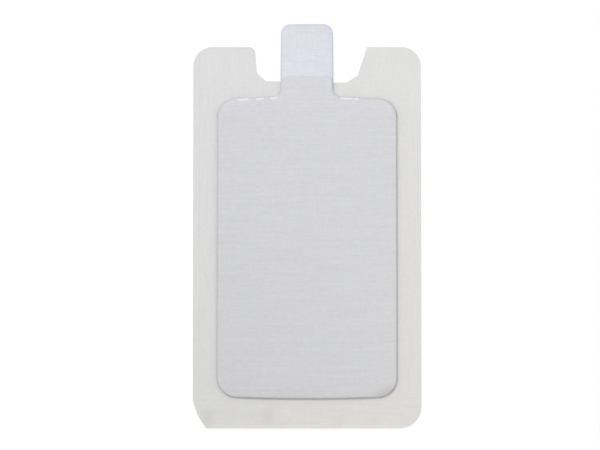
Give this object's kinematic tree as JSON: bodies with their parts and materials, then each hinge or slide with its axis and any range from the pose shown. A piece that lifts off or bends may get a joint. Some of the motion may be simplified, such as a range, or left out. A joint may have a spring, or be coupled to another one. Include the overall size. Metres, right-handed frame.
{
  "type": "electrosurgical return electrode",
  "caption": "Flat adhesive patient electrode: die-cut foam sheet with a notch, foil conductor with a bare contact tab, and a conductive gel pad.",
  "frame": {"origin": "under the middle of the whole outline, on the surface that the foam lies on", "axes": "+Z out of the gel side, +Y along the sheet towards the contact tab, +X to the right across the sheet as seen from the gel side"},
  "size_m": [0.114, 0.2022, 0.0025],
  "materials": {
    "foam": "fine closed-cell foam skin, matt",
    "foil": "satin laminated foil",
    "gel": "soft translucent hydrogel, faintly glossy"
  },
  "bodies": {
    "root": {"foam_carrier": "foam", "conductor_foil": "foil", "gel_pad": "gel"}
  },
  "joints": []
}
